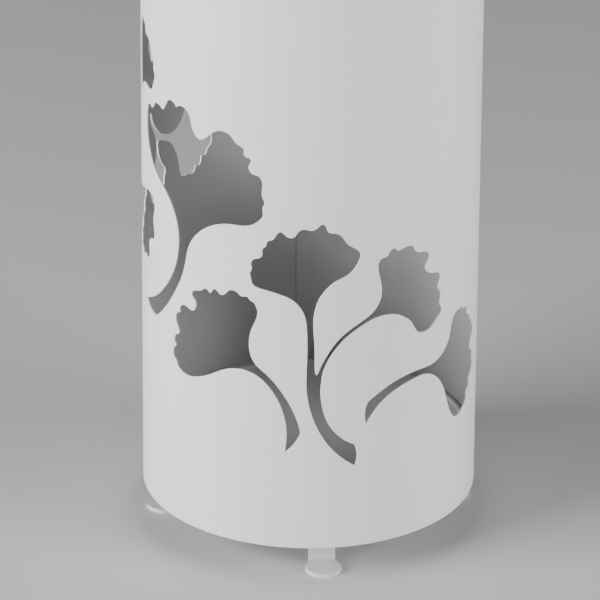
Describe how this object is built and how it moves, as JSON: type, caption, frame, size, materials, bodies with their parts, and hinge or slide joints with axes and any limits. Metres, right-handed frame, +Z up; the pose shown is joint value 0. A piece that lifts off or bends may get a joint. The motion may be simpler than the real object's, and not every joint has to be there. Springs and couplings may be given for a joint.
{
  "type": "umbrella stand",
  "caption": "Cylindrical sheet-steel umbrella stand with leaf-shaped cut-outs, short bent feet and a loose drip tray that lifts out.",
  "frame": {"origin": "on the ground in the middle of the stand", "axes": "+Z up along the tube, -Y towards the front, +X to the right seen from the front"},
  "size_m": [0.25, 0.25, 0.5255],
  "materials": {
    "body_coat": "satin",
    "floor_coat": "satin",
    "weld_coat": "satin",
    "tray_coat": "satin",
    "foot_coat": "satin"
  },
  "bodies": {
    "stand": {"body_tube": "body_coat", "seam_weld": "weld_coat", "base_plate": "floor_coat", "floor_welds": "weld_coat", "foot_front": "foot_coat", "foot_right": "foot_coat", "foot_back": "foot_coat", "foot_left": "foot_coat", "foot_welds": "weld_coat"},
    "tray": {"drip_tray": "tray_coat"}
  },
  "joints": [
    {"name": "tray_lift", "type": "slide", "parent": "stand", "child": "tray", "axis": [0, 0, 1], "range_m": [0, 0.5]}
  ]
}
